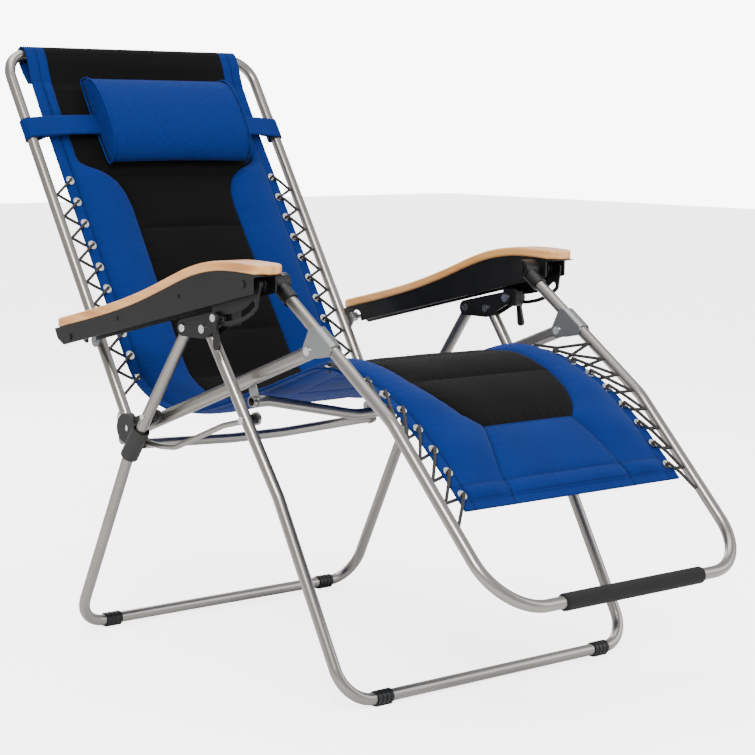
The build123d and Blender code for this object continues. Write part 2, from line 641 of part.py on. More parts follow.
for label, side in SIDES.items():
    with BuildPart() as arm_top:
        with BuildSketch(plate_plane(side, ARM_X - WOOD_WIDTH / 2)):
            with BuildLine():
                low = wood_underside()
                high = wood_underside(WOOD_THICK)
                Line(low @ 0, high @ 0)
                Line(low @ 1, high @ 1)
            make_face()
        extrude(amount=side * WOOD_WIDTH)
        with BuildSketch(Plane.XY.offset(500.0)):
            with Locations((side * ARM_X, (WOOD_LINE[0][0] + WOOD_LINE[-1][0]) / 2)):
                RectangleRounded(WOOD_WIDTH, WOOD_LINE[0][0] - WOOD_LINE[-1][0], 24.0)
        extrude(amount=250.0, mode=Mode.INTERSECT)
        long_faces = arm_top.faces().sort_by(SortBy.AREA)[-2:]
        fillet(long_faces.edges(), WOOD_EDGE_R)
    save(arm_top, f"arm_top_{label}")

    with BuildPart() as arm_shell:
        with BuildSketch(plate_plane(side, ARM_X - SHELL_HALF)):
            with BuildLine():
                low = wood_underside(-0.2)
                Polyline(low @ 0, (PANEL_REAR[0] + 18.0, PANEL_REAR[1] + 10.0), PANEL_REAR, PANEL_FRONT,
                         (PANEL_FRONT[0], 672.0), (-174.0, 674.0), low @ 1)
            make_face()
        extrude(amount=side * 2 * SHELL_HALF)
        with BuildSketch(plate_plane(side, ARM_X - SHELL_HALF + SHELL_WALL)):
            with BuildLine():
                roof = wood_underside(-3.5)
                Polyline(roof @ 0, (404.0, 480.0), (-200.0, 480.0), roof @ 1)
            make_face()
        extrude(amount=side * 2 * (SHELL_HALF - SHELL_WALL), mode=Mode.SUBTRACT)
        cross_pin(side, SHELL_IN - 2, SHELL_IN + 5, ARM_FRONT, AXLE_R + RUNNING, Mode.SUBTRACT)
        cross_pin(side, SHELL_IN - 2, SHELL_IN + 5, ARM_REAR, 13.0, Mode.SUBTRACT)
        with BuildSketch(plate_plane(side, SHELL_IN - 2)):
            with Locations((ARM_REAR[0], ARM_REAR[1] - 20.0)):
                Rectangle(26.0, 40.0)
        extrude(amount=side * 7.0, mode=Mode.SUBTRACT)
    save(arm_shell, f"arm_shell_{label}")

    with BuildPart() as lock_track_plate:
        roof_rear = (-46.0, 653.0)
        roof_front = (-154.0, 660.0)
        link_plate(
            side,
            TRACK_X,
            TRACK_X + TRACK_THICK,
            [(point, 12.0) for point in track] + [(roof_rear, 10.0), (roof_front, 10.0)],
        )
        for near, far in zip(track, track[1:]):
            slot_discs = [(near, BOLT_R + 1.0), (far, BOLT_R + 1.0)]
            link_plate(side, TRACK_X - 1, TRACK_X + TRACK_THICK + 1, slot_discs, Mode.SUBTRACT)
    save(lock_track_plate, f"lock_track_{label}")

    with BuildPart() as arm_rivets:
        for point in (ARM_FRONT, ARM_REAR):
            cross_pin(side, ARM_X + SHELL_HALF, ARM_X + SHELL_HALF + 2.0, point, 6.0)
        for point in ((32.0, 629.0), (202.0, 579.0)):
            cross_pin(side, ARM_X + SHELL_HALF, ARM_X + SHELL_HALF + 1.5, point, 3.5)
    save(arm_rivets, f"arm_rivets_{label}")

# ---------------------------------------------------------------- sling

def band(points, thickness, half_width):
    """A strip of even thickness along a smooth (y, z) line, across the chair, in a part context."""
    normals = []
    for i, (y, z) in enumerate(points):
        before = points[max(i - 1, 0)]
        after = points[min(i + 1, len(points) - 1)]
        run = hypot(after[0] - before[0], after[1] - before[1])
        normals.append(((before[1] - after[1]) / run, (after[0] - before[0]) / run))
    half = thickness / 2
    upper = [(p[0] + n[0] * half, p[1] + n[1] * half) for p, n in zip(points, normals)]
    lower = [(p[0] - n[0] * half, p[1] - n[1] * half) for p, n in zip(points, normals)]
    with BuildSketch(Plane.YZ.offset(-half_width)) as strip:
        with BuildLine():
            top = Spline(*upper)
            bottom = Spline(*lower)
            Line(top @ 0, bottom @ 0)
            Line(top @ 1, bottom @ 1)
        make_face()
    extrude(to_extrude=strip.sketch, amount=2 * half_width)


BACK_LINE = [back_point(58.0, 3.0), back_point(250.0, -8.0), back_point(480.0, -4.0), back_point(733.0, 0.0)]
SEAT_LINE = [(285.0, 441.0), (237.0, 418.0), (182.0, 409.0), (92.0, 425.0), (-8.0, 457.0), (-108.0, 494.0),
             (-180.0, 523.0)]
LEG_LINE = [(-196.0, 524.5), (-279.0, 514.5), (-371.0, 476.0), (-447.0, 420.0), (-526.0, 343.0)]
BACK_HEM = [back_point(52.0), back_point(300.0), back_point(520.0)]

back_grommets = [back_point(BACK_GROMMET_TOP - i * BACK_GROMMET_PITCH) for i in range(BACK_GROMMETS)]
leg_curve = Spline(*[(0, y, z) for y, z in LEG_LINE])
leg_shares = spaced(0.03, 0.955, LEG_GROMMETS)


def leg_point(share):
    """A (y, z) point on the legrest sling's line."""
    place = leg_curve @ share
    return (place.Y, place.Z)


def leg_normal(share):
    """The (y, z) direction out of the legrest sling, towards the calves."""
    along_line = leg_curve % share
    return (along_line.Z, -along_line.Y)


back_normal = (-cos(BACK_LEAN), sin(BACK_LEAN))
leg_grommets = [leg_point(share) for share in leg_shares]
leg_normals = [leg_normal(share) for share in leg_shares]


def across(side, x, point, normal):
    """A plane through a grommet, its Z axis out of the cloth."""
    return Plane(origin=(side * x, point[0], point[1]), x_dir=(1, 0, 0), z_dir=(0, normal[0], normal[1]))


def punch(points, normals):
    """Cut the lace holes through both hems, inside a part context."""
    for side in SIDES.values():
        for point, normal in zip(points, normals):
            with Locations(across(side, GROMMET_X, point, normal)):
                Cylinder(GROMMET_HOLE_R + 1.2, 40.0, mode=Mode.SUBTRACT)


def grommet_rings(points, normals):
    """Eyelet rings round every lace hole, inside a part context."""
    for side in SIDES.values():
        for point, normal in zip(points, normals):
            with Locations(across(side, GROMMET_X, point, normal)):
                Cylinder(GROMMET_HOLE_R + 1.2, HEM_THICK + 2.4)
                with Locations((0, 0, HEM_THICK / 2 + 0.6), (0, 0, -HEM_THICK / 2 - 0.6)):
                    Cylinder(GROMMET_R, 1.2)
                Cylinder(GROMMET_HOLE_R, 40.0, mode=Mode.SUBTRACT)


back_normals = [back_normal] * BACK_GROMMETS
TOP_HEM_R = 15.24

with BuildPart() as back_sling:
    band(BACK_LINE, PAD_THICK, SLING_HALF)
    band(BACK_HEM, HEM_THICK, HEM_HALF)
    cross_pin(1, -SLING_HALF + 6.0, SLING_HALF - 6.0, back_head, TOP_HEM_R)
    cross_pin(1, -HEM_HALF - 30, HEM_HALF + 30, back_head, TUBE_R + 0.3, Mode.SUBTRACT)
    punch(back_grommets, back_normals)
save(back_sling, "back_sling")

with BuildPart() as seat_sling:
    band(SEAT_LINE, HEM_THICK, HEM_HALF - 6.0)
    band(SEAT_LINE, PAD_THICK, SLING_HALF - 8.0)
save(seat_sling, "seat_sling")

with BuildPart() as legrest_sling:
    band(LEG_LINE, HEM_THICK, HEM_HALF)
    band(LEG_LINE, PAD_THICK, SLING_HALF)
    punch(leg_grommets, leg_normals)
save(legrest_sling, "legrest_sling")

with BuildPart() as back_grommet_rings:
    grommet_rings(back_grommets, back_normals)
save(back_grommet_rings, "back_grommets")

with BuildPart() as legrest_grommet_rings:
    grommet_rings(leg_grommets, leg_normals)
save(legrest_grommet_rings, "legrest_grommets")


EDGE_X = HEM_HALF + 4.5
LACE_LIFT = 4.9  # middle of the lace over the hem at its edge
HOLE_LIFT = 7.0  # and where it leaves an eyelet


def lace_points(side, holes, normals, turns):
    """Route of one elastic lace: up through a hole, out to the tube, back under the next hole."""
    route = []
    previous_turn = None
    for hole, normal, turn in zip(holes, normals, turns):
        share = (EDGE_X - GROMMET_X) / (LACE_REACH - GROMMET_X)
        if previous_turn:
            route.append(edge_point(side, hole, normal, previous_turn, share, -LACE_LIFT))
        for lift in (-HOLE_LIFT, HOLE_LIFT):
            route.append((side * GROMMET_X, hole[0] + normal[0] * lift, hole[1] + normal[1] * lift))
        route.append(edge_point(side, hole, normal, turn, share, LACE_LIFT))
        route.append((side * LACE_REACH, turn[0], turn[1]))
        previous_turn = turn
    return route


def edge_point(side, hole, normal, turn, share, lift):
    """Where a lace crosses the hem's edge: on the cloth's line, above or below it."""
    reach = (turn[0] - hole[0], turn[1] - hole[1])
    height = reach[0] * normal[0] + reach[1] * normal[1]
    slide = (reach[0] - height * normal[0], reach[1] - height * normal[1])
    return (
        side * EDGE_X,
        hole[0] + slide[0] * share + normal[0] * lift,
        hole[1] + slide[1] * share + normal[1] * lift,
    )


def lace(route):
    """A round elastic cord along a route, with small bends at each turn, inside a part context."""
    for start, end in zip(route, route[1:]):
        run = Vector(*end) - Vector(*start)
        with BuildSketch(Plane(origin=start, z_dir=run)) as section:
            Circle(LACE_R)
        extrude(to_extrude=section.sketch, amount=run.length)
    with Locations(*route):
        Sphere(LACE_R)


TURN_SHARE = 0.62
back_turns = [back_point(BACK_GROMMET_TOP - (i + TURN_SHARE) * BACK_GROMMET_PITCH) for i in range(BACK_GROMMETS)]

leg_path = FilletPolyline(
    *[(0, y, z) for y, z in (LEGREST_TOP, LEGREST_KNEE, LEGREST_FOOT)], radius=LEGREST_KNEE_R
)
FIRST_TURN = 187.0
LAST_TURN = 519.0
leg_turns = []
for distance in spaced(FIRST_TURN, LAST_TURN, LEG_GROMMETS):
    place = leg_path.position_at(distance / leg_path.length)
    leg_turns.append((place.Y, place.Z))

for label, side in SIDES.items():
    with BuildPart() as back_lace:
        lace(lace_points(side, back_grommets, back_normals, back_turns))
    save(back_lace, f"back_lace_{label}")

    with BuildPart() as legrest_lace:
        lace(lace_points(side, leg_grommets, leg_normals, leg_turns))
    save(legrest_lace, f"legrest_lace_{label}")

# ---------------------------------------------------------------- head pillow

PILLOW_LOW = 496.0
PILLOW_HIGH = 680.0
PILLOW_HALF = 182.0
PILLOW_THICK = 52.0
STRAP_LOW = 560.0
STRAP_HIGH = 600.0
STRAP_R = 12.2

with BuildPart() as headrest_pillow:
    near = 15.0
    far = near + PILLOW_THICK
    with BuildSketch(Plane.YZ.offset(-PILLOW_HALF)):
        Polygon(
            back_point(PILLOW_LOW + 10, near),
            back_point(PILLOW_LOW, near + 18),
            back_point(PILLOW_LOW + 14, far - 6),
            back_point(PILLOW_LOW + 60, far),
            back_point(PILLOW_HIGH - 60, far),
            back_point(PILLOW_HIGH - 14, far - 8),
            back_point(PILLOW_HIGH, near + 16),
            back_point(PILLOW_HIGH - 8, near),
            align=None,
        )
    extrude(amount=2 * PILLOW_HALF)
save(headrest_pillow, "headrest_pillow")

with BuildPart() as headrest_strap:
    for side in SIDES.values():
        strap_plane = Plane(
            origin=(0, back_point(STRAP_LOW)[0], back_point(STRAP_LOW)[1]),
            x_dir=(1, 0, 0),
            z_dir=(0, sin(BACK_LEAN), cos(BACK_LEAN)),
        )
        with BuildSketch(strap_plane):
            with Locations((side * FRAME_X, 0)):
                Circle(STRAP_R)
                Circle(STRAP_R - 1.8, mode=Mode.SUBTRACT)
            with Locations((side * (PILLOW_HALF + FRAME_X - 6.0) / 2, -STRAP_R - 9.5)):
                Rectangle(FRAME_X - PILLOW_HALF - 6.0, 2.0)
            with Locations((side * (FRAME_X - 6.0), -STRAP_R - 4.0)):
                Rectangle(2.4, 13.0)
        extrude(amount=STRAP_HIGH - STRAP_LOW)
save(headrest_strap, "headrest_strap")
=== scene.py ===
"""Looks of the zero gravity recliner: padded laced sling, head bolster, wooden arms, satin frame."""

import json
from math import cos, pi, radians, sin

import bpy
import numpy as np
from mathutils import Matrix, Vector


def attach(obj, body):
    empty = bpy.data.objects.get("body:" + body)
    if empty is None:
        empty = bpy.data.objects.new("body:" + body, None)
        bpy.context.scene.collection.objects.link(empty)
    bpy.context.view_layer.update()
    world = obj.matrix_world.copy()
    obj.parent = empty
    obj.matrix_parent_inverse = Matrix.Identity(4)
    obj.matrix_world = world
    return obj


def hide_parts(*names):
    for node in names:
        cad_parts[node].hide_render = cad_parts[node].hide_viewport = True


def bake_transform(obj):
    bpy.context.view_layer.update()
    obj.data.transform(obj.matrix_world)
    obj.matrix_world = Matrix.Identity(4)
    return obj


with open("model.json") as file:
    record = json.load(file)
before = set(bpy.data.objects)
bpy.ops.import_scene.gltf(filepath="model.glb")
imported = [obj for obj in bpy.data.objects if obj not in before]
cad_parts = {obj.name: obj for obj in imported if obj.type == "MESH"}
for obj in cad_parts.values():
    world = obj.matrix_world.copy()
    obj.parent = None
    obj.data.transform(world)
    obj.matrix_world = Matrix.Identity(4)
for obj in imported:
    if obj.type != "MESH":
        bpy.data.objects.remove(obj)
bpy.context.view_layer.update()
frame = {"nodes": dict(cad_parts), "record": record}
NODES = frame["nodes"]

MM = 0.001

# ---------------------------------------------------------------- camera, floor and light

CAMERA_PLACE = (-2.662171, -2.936101, 0.945267)
CAMERA_AZIMUTH = radians(-42.803)
CAMERA_ELEVATION = radians(6.816)
CAMERA_ROLL = radians(0.723)
LENS_MM = 108.29


def set_camera():
    data = bpy.data.cameras.new("view")
    data.lens = LENS_MM
    data.sensor_width = 36.0
    camera = bpy.data.objects.new("view", data)
    bpy.context.scene.collection.objects.link(camera)
    turn = CAMERA_AZIMUTH
    rise = CAMERA_ELEVATION
    back = Vector((sin(turn) * cos(rise), -cos(turn) * cos(rise), sin(rise)))
    level = (-back).cross(Vector((0, 0, 1))).normalized()
    up = level.cross(-back)
    right = level * cos(CAMERA_ROLL) + up * sin(CAMERA_ROLL)
    top = up * cos(CAMERA_ROLL) - level * sin(CAMERA_ROLL)
    camera.matrix_world = Matrix(
        (
            (right.x, top.x, back.x, CAMERA_PLACE[0]),
            (right.y, top.y, back.y, CAMERA_PLACE[1]),
            (right.z, top.z, back.z, CAMERA_PLACE[2]),
            (0, 0, 0, 1),
        )
    )
    bpy.context.scene.camera = camera


def area_light(name, place, aim, size, power, tint=(1, 1, 1)):
    data = bpy.data.lights.new(name, "AREA")
    data.size = size
    data.energy = power
    data.color = tint
    lamp = bpy.data.objects.new(name, data)
    bpy.context.scene.collection.objects.link(lamp)
    lamp.location = place
    lamp.rotation_euler = (Vector(aim) - Vector(place)).to_track_quat("-Z", "Y").to_euler()


set_camera()
area_light("key", (-2.6, -2.2, 3.4), (0, 0, 0.5), 1.4, 230, (1.0, 0.985, 0.96))
area_light("fill", (2.8, -2.6, 1.8), (0, 0, 0.5), 2.4, 60, (0.95, 0.97, 1.0))
area_light("top", (0.2, 0.6, 3.6), (0, 0, 0.4), 2.6, 90)
area_light("rim", (1.2, 3.0, 2.0), (0, 0, 0.6), 2.0, 60)

world = bpy.data.worlds.new("studio")
bpy.context.scene.world = world
world.use_nodes = True
world.node_tree.nodes["Background"].inputs["Color"].default_value = (0.93, 0.94, 0.96, 1)
BACKDROP_LIGHT = 1.0
BACKDROP_SEEN = 9.0
FLOOR_SEEN = 3.2
world.node_tree.nodes["Background"].inputs["Strength"].default_value = BACKDROP_LIGHT


def seen_brighter(nodes, links, plain, seen):
    """A strength of plain for light that falls on things, and of seen where the camera looks."""
    rays = nodes.new("ShaderNodeLightPath")
    blend = nodes.new("ShaderNodeMapRange")
    blend.inputs["To Min"].default_value = plain
    blend.inputs["To Max"].default_value = seen
    links.new(rays.outputs["Is Camera Ray"], blend.inputs["Value"])
    return blend.outputs["Result"]


links_of_world = world.node_tree.links
links_of_world.new(
    seen_brighter(world.node_tree.nodes, links_of_world, BACKDROP_LIGHT, BACKDROP_SEEN),
    world.node_tree.nodes["Background"].inputs["Strength"],
)


# ---------------------------------------------------------------- finishes

def finish(name, colour, roughness, metallic=0.0):
    """A material with its plain values set on the shader, and handles for its pattern."""
    made = bpy.data.materials.new(name)
    made.use_nodes = True
    shader = made.node_tree.nodes["Principled BSDF"]
    shader.inputs["Base Color"].default_value = (*colour, 1)
    shader.inputs["Roughness"].default_value = roughness
    shader.inputs["Metallic"].default_value = metallic
    return made, made.node_tree.nodes, made.node_tree.links, shader


def node(nodes, kind, **settings):
    made = nodes.new(kind)
    for key, value in settings.items():
        setattr(made, key, value)
    return made


def noise(nodes, links, source, scale, detail=3.0, stretch=None):
    """Noise on a coordinate, stretched where a finish has a direction."""
    if stretch:
        mapping = node(nodes, "ShaderNodeMapping")
        mapping.inputs["Scale"].default_value = stretch
        links.new(source, mapping.inputs["Vector"])
        source = mapping.outputs["Vector"]
    made = node(nodes, "ShaderNodeTexNoise")
    made.inputs["Scale"].default_value = scale
    made.inputs["Detail"].default_value = detail
    links.new(source, made.inputs["Vector"])
    return made.outputs["Fac"]


def ramp(nodes, links, factor, stops):
    """Colours along a factor."""
    made = node(nodes, "ShaderNodeValToRGB")
    bar = made.color_ramp
    while len(bar.elements) < len(stops):
        bar.elements.new(0.5)
    for element, (place, colour) in zip(bar.elements, stops):
        element.position = place
        element.color = (*colour, 1)
    links.new(factor, made.inputs["Fac"])
    return made.outputs["Color"]


def spread(nodes, links, factor, low, high):
    """A factor brought into a range."""
    made = node(nodes, "ShaderNodeMapRange")
    made.inputs["To Min"].default_value = low
    made.inputs["To Max"].default_value = high
    links.new(factor, made.inputs["Value"])
    return made.outputs["Result"]


def maths(nodes, links, operation, first, second=None):
    made = node(nodes, "ShaderNodeMath", operation=operation)
    for socket, value in zip(made.inputs, (first, second)):
        if value is None:
            continue
        if isinstance(value, (int, float)):
            socket.default_value = value
        else:
            links.new(value, socket)
    return made.outputs["Value"]


def bump(nodes, links, shader, height, strength, depth):
    made = node(nodes, "ShaderNodeBump")
    made.inputs["Strength"].default_value = strength
    made.inputs["Distance"].default_value = depth
    links.new(height, made.inputs["Height"])
    links.new(made.outputs["Normal"], shader.inputs["Normal"])


def place_of(nodes, kind="Object"):
    return node(nodes, "ShaderNodeTexCoord").outputs[kind]


def shade(colour, share):
    return tuple(channel * share for channel in colour)


def painted_tube(name, colour, roughness, metallic, grain=900.0):
    """Powder-coated or plated metal with a fine orange peel and slight tone changes."""
    made, nodes, links, shader = finish(name, colour, roughness, metallic)
    place = place_of(nodes)
    tone = noise(nodes, links, place, 7.0)
    links.new(
        ramp(nodes, links, tone, [(0.3, shade(colour, 0.9)), (0.7, shade(colour, 1.08))]),
        shader.inputs["Base Color"],
    )
    peel = noise(nodes, links, place, grain)
    links.new(spread(nodes, links, peel, roughness - 0.06, roughness + 0.08), shader.inputs["Roughness"])
    bump(nodes, links, shader, peel, 0.12, 0.0002)
    return made


def moulded(name, colour, roughness, grain=1400.0, depth=0.0003):
    """Moulded plastic with a fine textured skin."""
    made, nodes, links, shader = finish(name, colour, roughness)
    shader.inputs["Specular IOR Level"].default_value = 0.3
    place = place_of(nodes)
    skin = noise(nodes, links, place, grain, 2.0)
    scuffs = noise(nodes, links, place, 26.0, 5.0)
    links.new(
        ramp(nodes, links, scuffs, [(0.35, shade(colour, 0.8)), (0.75, shade(colour, 1.5))]),
        shader.inputs["Base Color"],
    )
    links.new(spread(nodes, links, scuffs, roughness - 0.05, roughness + 0.12), shader.inputs["Roughness"])
    bump(nodes, links, shader, skin, 0.3, depth)
    return made


def lacquered_wood():
    """Light wood with long grain, fine pores and a clear coat."""
    made, nodes, links, shader = finish("arm_wood", (0.80, 0.47, 0.21), 0.4)
    place = place_of(nodes)
    wander = noise(nodes, links, place, 3.0, 2.0, (1.0, 0.6, 1.0))
    figure = noise(nodes, links, place, 1.0, 6.0, (95.0, 5.0, 60.0))
    pores = noise(nodes, links, place, 1.0, 2.0, (900.0, 28.0, 700.0))
    grain = maths(nodes, links, "ADD", maths(nodes, links, "MULTIPLY", wander, 0.35), figure)
    links.new(
        ramp(
            nodes,
            links,
            grain,
            [(0.45, (0.42, 0.165, 0.04)), (0.62, (0.62, 0.285, 0.08)), (0.85, (0.74, 0.38, 0.13))],
        ),
        shader.inputs["Base Color"],
    )
    links.new(spread(nodes, links, pores, 0.34, 0.5), shader.inputs["Roughness"])
    shader.inputs["Coat Weight"].default_value = 0.35
    shader.inputs["Coat Roughness"].default_value = 0.22
    bump(nodes, links, shader, pores, 0.15, 0.0002)
    return made


THREAD_STEP = 0.0042


WEAVE_PITCH = 0.0011
BOLSTER_WEAVE_PITCH = 0.0012
BRAID_PITCH = 0.0016
STITCH_ROW = 0.0026
STITCH_HALF = 0.0005
CLOTH_SPECULAR = 0.08
SHEEN_ROUGHNESS = 0.45


def woven_cloth(name, colour, roughness=0.82, sheen=0.03):
    """Woven polyester on the piece's own UV, in metres, with stitch lines beside each seam and painted
    shade along each seam crease.
    """
    made, nodes, links, shader = finish(name, colour, roughness)
    flat = place_of(nodes, "UV")
    split = node(nodes, "ShaderNodeSeparateXYZ")
    links.new(flat, split.inputs["Vector"])
    across, along = split.outputs["X"], split.outputs["Y"]
    weft = maths(nodes, links, "SINE", maths(nodes, links, "MULTIPLY", across, 2 * pi / WEAVE_PITCH))
    warp = maths(nodes, links, "SINE", maths(nodes, links, "MULTIPLY", along, 2 * pi / WEAVE_PITCH))
    weave = maths(nodes, links, "MULTIPLY", weft, warp)
    slub = noise(nodes, links, flat, 1.0, 4.0, (60.0, 420.0, 1.0))
    wear = noise(nodes, links, flat, 11.0, 4.0)
    slub_part = maths(nodes, links, "MULTIPLY", slub, 0.45)
    wear_part = maths(nodes, links, "MULTIPLY", wear, 0.55)
    tone = maths(nodes, links, "ADD", slub_part, wear_part)
    base = ramp(nodes, links, tone, [(0.3, shade(colour, 0.85)), (0.7, shade(colour, 1.15))])
    seam = node(nodes, "ShaderNodeAttribute", attribute_name="seam_gap").outputs["Fac"]
    from_row = maths(nodes, links, "ABSOLUTE", maths(nodes, links, "SUBTRACT", seam, STITCH_ROW))
    beside = maths(nodes, links, "LESS_THAN", from_row, STITCH_HALF)
    slant = maths(nodes, links, "ADD", across, along)
    run = maths(nodes, links, "FRACT", maths(nodes, links, "DIVIDE", slant, THREAD_STEP))
    stitch = maths(nodes, links, "MULTIPLY", beside, maths(nodes, links, "LESS_THAN", run, 0.68))
    # Painted shade: within 0.9 mm of each seam line the cloth is darkened towards a fifth of its colour,
    # standing in for the shade in the seam crease; the stitch marks beside it stand for real thread.
    seam_crease_shade = maths(nodes, links, "LESS_THAN", seam, 0.0009)
    seam_crease_shade_part = maths(nodes, links, "MULTIPLY", seam_crease_shade, 0.75)
    stitch_part = maths(nodes, links, "MULTIPLY", stitch, 0.55)
    seam_shade_and_stitch = maths(nodes, links, "MAXIMUM", seam_crease_shade_part, stitch_part)
    mixed = node(nodes, "ShaderNodeMix", data_type="RGBA")
    links.new(seam_shade_and_stitch, mixed.inputs["Factor"])
    links.new(base, mixed.inputs["A"])
    mixed.inputs["B"].default_value = (*shade(colour, 0.22), 1)
    links.new(mixed.outputs["Result"], shader.inputs["Base Color"])
    links.new(spread(nodes, links, slub, roughness - 0.06, roughness + 0.06), shader.inputs["Roughness"])
    shader.inputs["Sheen Weight"].default_value = sheen
    shader.inputs["Specular IOR Level"].default_value = CLOTH_SPECULAR
    shader.inputs["Sheen Roughness"].default_value = SHEEN_ROUGHNESS
    weave_relief = maths(nodes, links, "MULTIPLY", weave, 0.35)
    stitch_relief = maths(nodes, links, "MULTIPLY", stitch, 1.2)
    relief = maths(nodes, links, "ADD", weave_relief, stitch_relief)
    bump(nodes, links, shader, relief, 0.35, 0.0003)
    return made


def bolster_cloth(name, colour):
    """The same cloth on object coordinates, for the simulated bolster."""
    made, nodes, links, shader = finish(name, colour, 0.84)
    place = place_of(nodes)
    split = node(nodes, "ShaderNodeSeparateXYZ")
    links.new(place, split.inputs["Vector"])
    turns = 2 * pi / BOLSTER_WEAVE_PITCH
    weft = maths(nodes, links, "SINE", maths(nodes, links, "MULTIPLY", split.outputs["X"], turns))
    warp = maths(nodes, links, "SINE", maths(nodes, links, "MULTIPLY", split.outputs["Z"], turns))
    weave = maths(nodes, links, "MULTIPLY", weft, warp)
    wear = noise(nodes, links, place, 120.0, 5.0)
    links.new(
        ramp(nodes, links, wear, [(0.3, shade(colour, 0.88)), (0.7, shade(colour, 1.12))]),
        shader.inputs["Base Color"],
    )
    links.new(spread(nodes, links, wear, 0.78, 0.9), shader.inputs["Roughness"])
    shader.inputs["Sheen Weight"].default_value = 0.03
    shader.inputs["Specular IOR Level"].default_value = CLOTH_SPECULAR
    shader.inputs["Sheen Roughness"].default_value = SHEEN_ROUGHNESS
    bump(nodes, links, shader, weave, 0.25, 0.0002)
    return made


def braided_elastic():
    """Round braided elastic: two sets of threads crossing on the slant, with painted shade in the hollows
    between threads and painted highlight on their crowns.
    """
    made, nodes, links, shader = finish("lace_elastic", (0.03, 0.026, 0.021), 0.7)
    place = place_of(nodes)
    split = node(nodes, "ShaderNodeSeparateXYZ")
    links.new(place, split.inputs["Vector"])
    rise = maths(nodes, links, "ADD", split.outputs["Y"], split.outputs["Z"])
    threads = []
    for way in ("ADD", "SUBTRACT"):
        slant = maths(nodes, links, way, split.outputs["X"], rise)
        turns = maths(nodes, links, "MULTIPLY", slant, 2 * pi / BRAID_PITCH)
        threads.append(maths(nodes, links, "SINE", turns))
    braid = maths(nodes, links, "MULTIPLY", *threads)
    # Painted shade and highlight: the colour follows the braid's relief, darker in the hollows between the
    # threads and lighter on their crowns.
    braid_painted_shade_and_highlight = [(0.3, (0.005, 0.0045, 0.004)), (0.75, (0.028, 0.024, 0.019))]
    mixed = spread(nodes, links, braid, 0.0, 1.0)
    links.new(ramp(nodes, links, mixed, braid_painted_shade_and_highlight), shader.inputs["Base Color"])
    bump(nodes, links, shader, braid, 0.5, 0.0004)
    return made


BLUE = (0.0004, 0.0145, 0.108)
BLACK = (0.0016, 0.0015, 0.0014)

FINISHES = {
    "tube_steel": painted_tube("tube_steel", (0.25, 0.235, 0.215), 0.28, 0.9),
    "plate_steel": painted_tube("plate_steel", (0.24, 0.245, 0.245), 0.38, 0.9, 500.0),
    "rivet_steel": painted_tube("rivet_steel", (0.72, 0.72, 0.71), 0.24, 1.0, 700.0),
    "black_plastic": moulded("black_plastic", (0.0035, 0.0035, 0.0035), 0.4),
    "grey_plastic": moulded("grey_plastic", (0.014, 0.0135, 0.013), 0.5),
    "foam_grip": moulded("foam_grip", (0.005, 0.005, 0.0055), 0.8, 420.0, 0.0009),
    "arm_wood": lacquered_wood(),
    "eyelet_metal": painted_tube("eyelet_metal", (0.78, 0.77, 0.74), 0.2, 1.0, 600.0),
    "lace_elastic": braided_elastic(),
}
SLING_BLUE = woven_cloth("sling_blue", BLUE)
SLING_BLACK = woven_cloth("sling_black", BLACK, 0.88, 0.02)
BOLSTER_BLUE = bolster_cloth("bolster_blue", BLUE)

for part in frame["record"]["subparts"]:
    if part["material_slot"] in FINISHES:
        for material_slot in NODES[part["node"]].material_slots:
            material_slot.material = FINISHES[part["material_slot"]]


# ---------------------------------------------------------------- floor

def ground():
    """A large white floor just under the feet, bright to the camera."""
    bpy.ops.object.select_all(action="DESELECT")
    bpy.ops.mesh.primitive_plane_add(size=30.0, location=(0, 0, -0.0005))
    floor = bpy.context.object
    floor.name = "floor"
    made, nodes, links, shader = finish("floor_white", (0.86, 0.86, 0.86), 0.7)
    clouds = noise(nodes, links, place_of(nodes), 2.0)
    whites = [(0.3, (0.93, 0.93, 0.93)), (0.7, (0.95, 0.95, 0.95))]
    links.new(ramp(nodes, links, clouds, whites), shader.inputs["Base Color"])
    shader.inputs["Emission Color"].default_value = (1, 1, 1, 1)
    links.new(seen_brighter(nodes, links, 0.0, FLOOR_SEEN), shader.inputs["Emission Strength"])
    floor.data.materials.append(made)


ground()


# ---------------------------------------------------------------- sling lines, (y, z) in millimetres

BACK_FOOT = (273.0, 396.0)
LEAN_SIN = 0.514496
LEAN_COS = 0.857493
TUBE_AT = 742.0


def on_back(distance, forward=0.0):
    """A point on the back, by its distance from the hinge and how far it stands forward."""
    return (
        BACK_FOOT[0] + distance * LEAN_SIN - forward * LEAN_COS,
        BACK_FOOT[1] + distance * LEAN_COS + forward * LEAN_SIN,
    )


SLEEVE = [on_back(684, -8), on_back(712, -13)]
SLEEVE += [on_back(TUBE_AT + 14.2 * sin(radians(a)), -14.2 * cos(radians(a))) for a in range(0, 181, 20)]
SLEEVE += [on_back(720, 12.0), on_back(700, 7.0), on_back(676, 2.0)]
BACK_LINE = SLEEVE + [on_back(d) for d in (620, 540, 460, 380, 300, 220, 150, 100, 62)]
SEAT_LINE = [
    (285.0, 441.0),
    (237.0, 418.0),
    (182.0, 409.0),
    (92.0, 425.0),
    (-8.0, 457.0),
    (-108.0, 494.0),
    (-180.0, 523.0),
]
LEG_LINE = [
    (-224.0, 526.0),
    (-279.0, 514.5),
    (-371.0, 476.0),
    (-447.0, 420.0),
    (-526.0, 343.0),
    (-534.0, 335.2),
]

LINE_STEP = 1.0
SOFT = 24.0
TIGHT = 3.0


def smoothed(dense, width):
    """A line rounded off over a width, with its ends held."""
    reach = int(3 * width / LINE_STEP)
    weights = np.exp(-0.5 * (np.arange(-reach, reach + 1) * LINE_STEP / width) ** 2)
    weights /= weights.sum()
    head = 2 * dense[0] - dense[1 : reach + 1][::-1]
    tail = 2 * dense[-1] - dense[-reach - 1 : -1][::-1]
    padded = np.vstack([head, dense, tail])
    return np.stack([np.convolve(padded[:, k], weights, "valid") for k in (0, 1)], axis=1)


